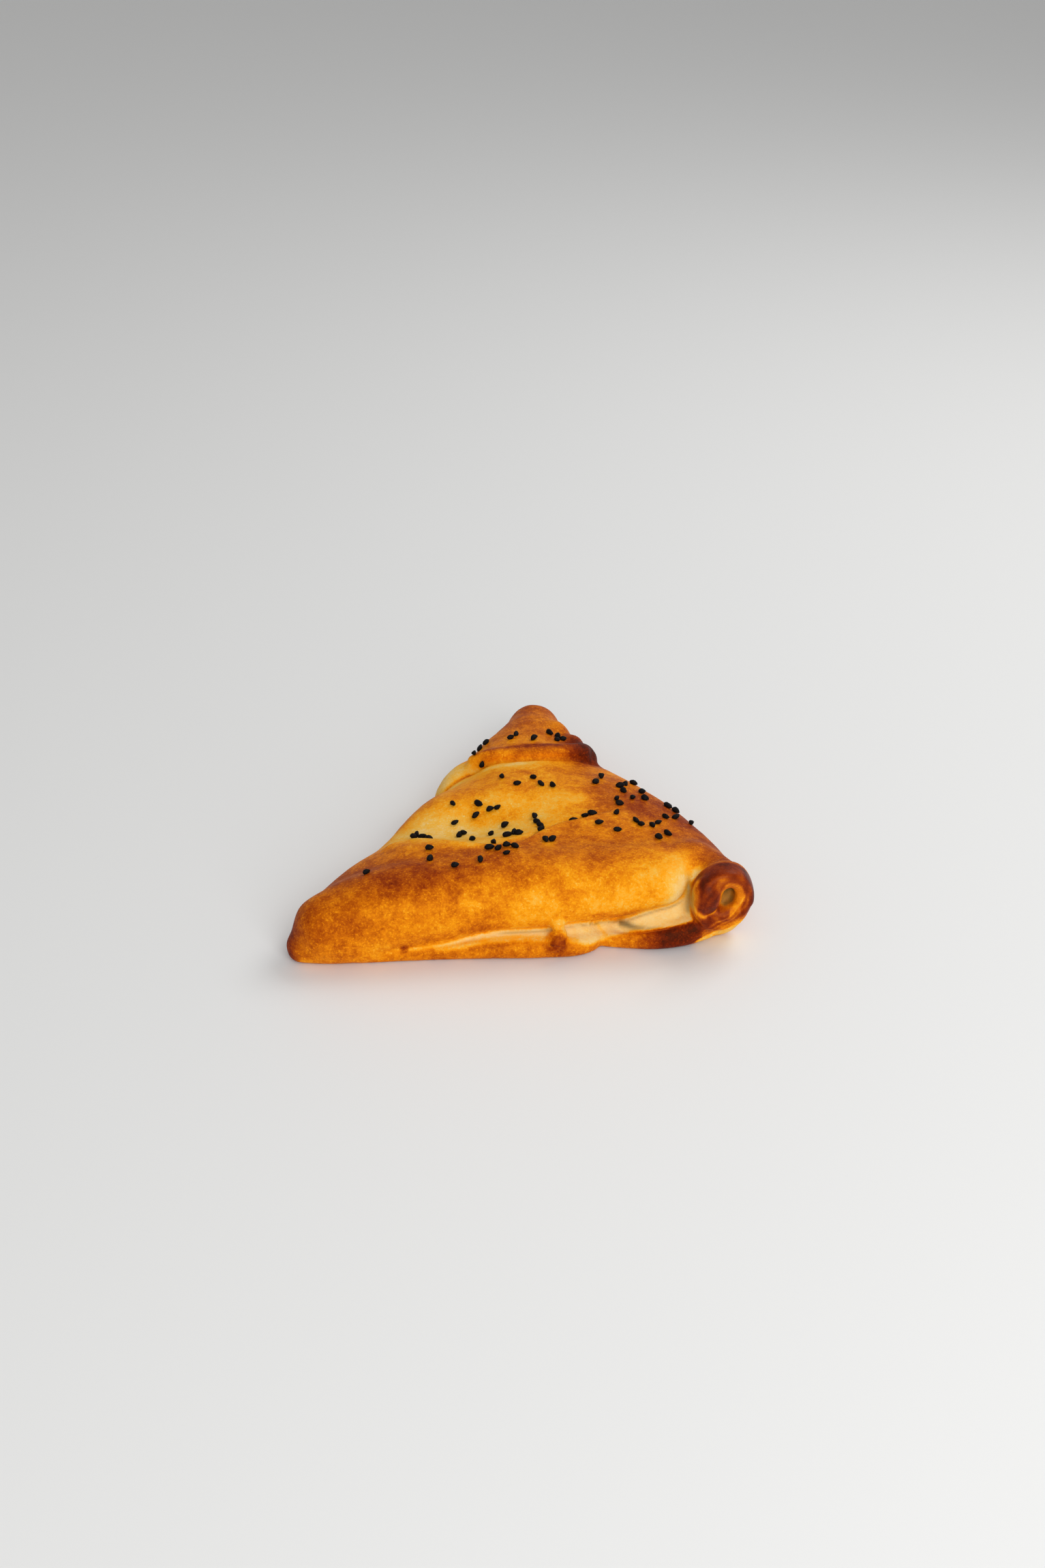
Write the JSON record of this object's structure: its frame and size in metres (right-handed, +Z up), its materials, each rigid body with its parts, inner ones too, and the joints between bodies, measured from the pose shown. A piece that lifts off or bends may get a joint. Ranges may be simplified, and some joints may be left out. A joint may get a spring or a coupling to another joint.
{
  "type": "turnover pastry",
  "caption": "Triangular turnover of baked bread dough, folded and rolled along the edges, with a scroll at one corner, a folded back tip and dark seeds on top.",
  "frame": {"origin": "middle of the outline's bounding box, at the flat base", "axes": "+Z up from the base, +X along the straight seam edge from the rounded left tip to the scroll, +Y towards the folded back tip"},
  "size_m": [0.1654, 0.158, 0.0319],
  "materials": {
    "crust": "satin golden-brown egg-washed bread crust, mottled, darker on the rolls, cream in the folds",
    "seeds": "matt black, finely wrinkled"
  },
  "bodies": {
    "root": {"pastry": "crust"}
  },
  "joints": []
}
